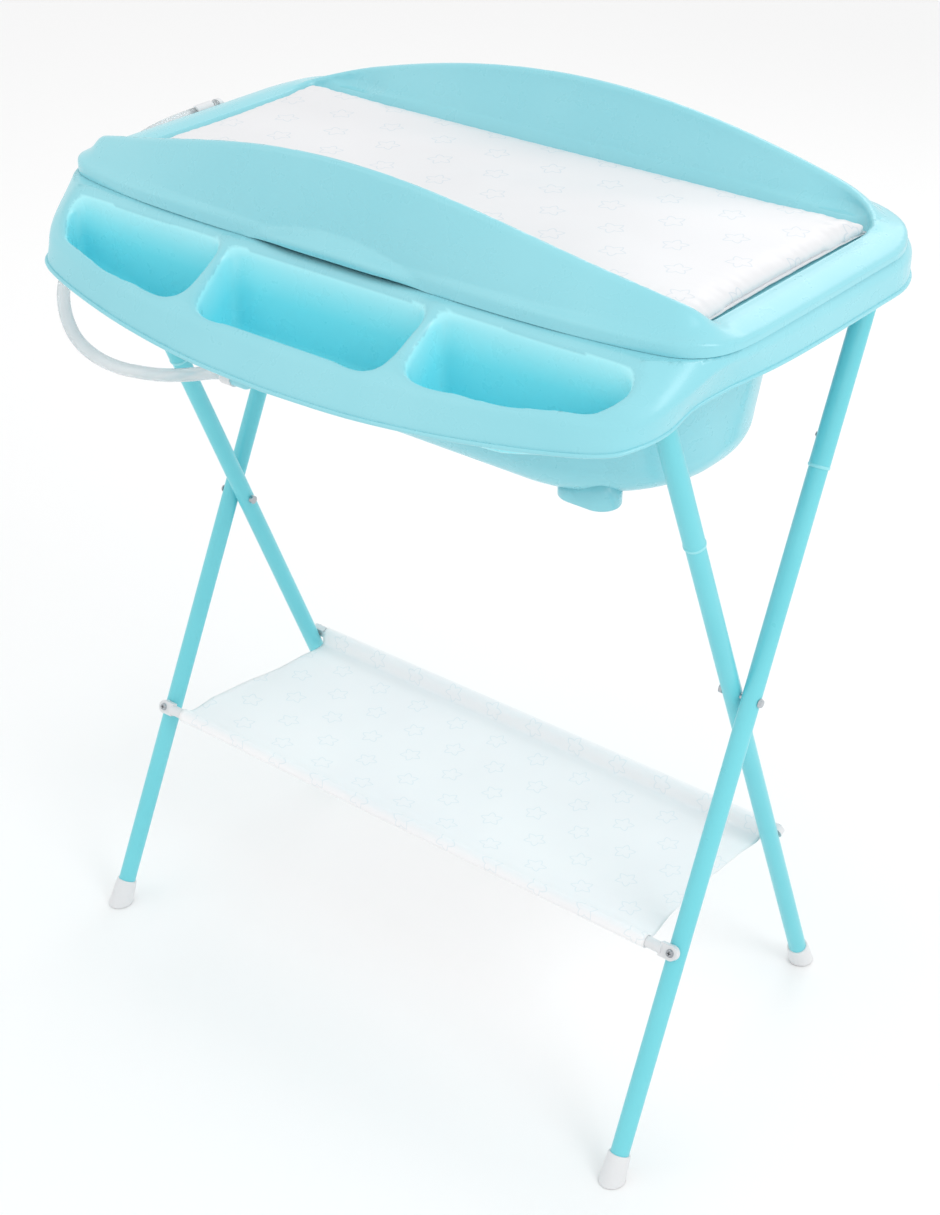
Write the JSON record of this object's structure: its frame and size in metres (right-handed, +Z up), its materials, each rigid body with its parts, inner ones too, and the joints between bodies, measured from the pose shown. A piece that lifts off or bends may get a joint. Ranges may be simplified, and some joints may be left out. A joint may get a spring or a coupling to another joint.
{
  "type": "folding baby bath and changing table",
  "caption": "Baby bath with pockets and a hinged padded changing top, on a folding X-frame with a fabric shelf and drain hose.",
  "frame": {"origin": "on the floor, under the middle of the bath's outline", "axes": "+Z up, -Y towards the pockets and the user, +X to the user's right"},
  "size_m": [0.8226, 0.54, 1.0025],
  "materials": {
    "aqua_plastic": "moulded, soft satin gloss",
    "leg_paint": "powder coated steel tube",
    "zinc_steel": "bright zinc plated fasteners",
    "white_plastic": "moulded white plastic",
    "hose_vinyl": "translucent soft vinyl hose",
    "pad_vinyl": "wipe-clean vinyl with faint star outlines",
    "shelf_cloth": "coated woven cloth with faint star outlines"
  },
  "bodies": {
    "bath": {"bath_tub": "aqua_plastic", "leg_rail_left": "aqua_plastic", "leg_rail_right": "aqua_plastic", "leg_bracket_left": "aqua_plastic", "leg_bracket_right": "aqua_plastic", "bracket_pins": "zinc_steel", "hinge_bracket_left": "aqua_plastic", "hinge_bracket_right": "aqua_plastic", "hinge_pins": "zinc_steel", "drain_spigot": "aqua_plastic", "hose_coupling": "white_plastic", "drain_hose": "hose_vinyl", "hose_plug": "white_plastic", "hose_clip": "white_plastic"},
    "changer": {"changer_top": "aqua_plastic", "changer_pad": "pad_vinyl", "hinge_knuckle_left": "aqua_plastic", "hinge_knuckle_right": "aqua_plastic"},
    "inner_frame": {"inner_leg_upper_left": "leg_paint", "inner_leg_upper_right": "leg_paint", "inner_leg_lower_left": "leg_paint", "inner_leg_lower_right": "leg_paint", "inner_foot_left": "white_plastic", "inner_foot_right": "white_plastic", "inner_joint_screws": "zinc_steel", "pivot_bolts": "zinc_steel", "shelf_back_rod": "white_plastic", "back_rod_screws": "zinc_steel"},
    "outer_frame": {"outer_leg_upper_left": "leg_paint", "outer_leg_upper_right": "leg_paint", "outer_leg_lower_left": "leg_paint", "outer_leg_lower_right": "leg_paint", "outer_foot_left": "white_plastic", "outer_foot_right": "white_plastic", "outer_joint_screws": "zinc_steel", "leg_glide_left": "white_plastic", "leg_glide_right": "white_plastic", "shelf_front_rod": "white_plastic", "front_rod_screws": "zinc_steel", "shelf_fabric": "shelf_cloth"}
  },
  "joints": [
    {"name": "changer_hinge", "type": "hinge", "parent": "bath", "child": "changer", "pos_m": [0, 0.2635, 0.9145], "axis": [-1, 0, 0], "range_deg": [0, 95]},
    {"name": "frame_fold", "type": "hinge", "parent": "bath", "child": "inner_frame", "pos_m": [0.3347, -0.13993, 0.88], "axis": [-1, 0, 0], "range_deg": [0, 22]},
    {"name": "outer_fold", "type": "hinge", "parent": "inner_frame", "child": "outer_frame", "pos_m": [0.346, 0.032, 0.4745], "axis": [-1, 0, 0], "range_deg": [-44, 0], "deforming": ["shelf_fabric"]}
  ],
  "couplings": [
    {"joint": "outer_fold", "follows": "frame_fold", "ratio": -2}
  ]
}
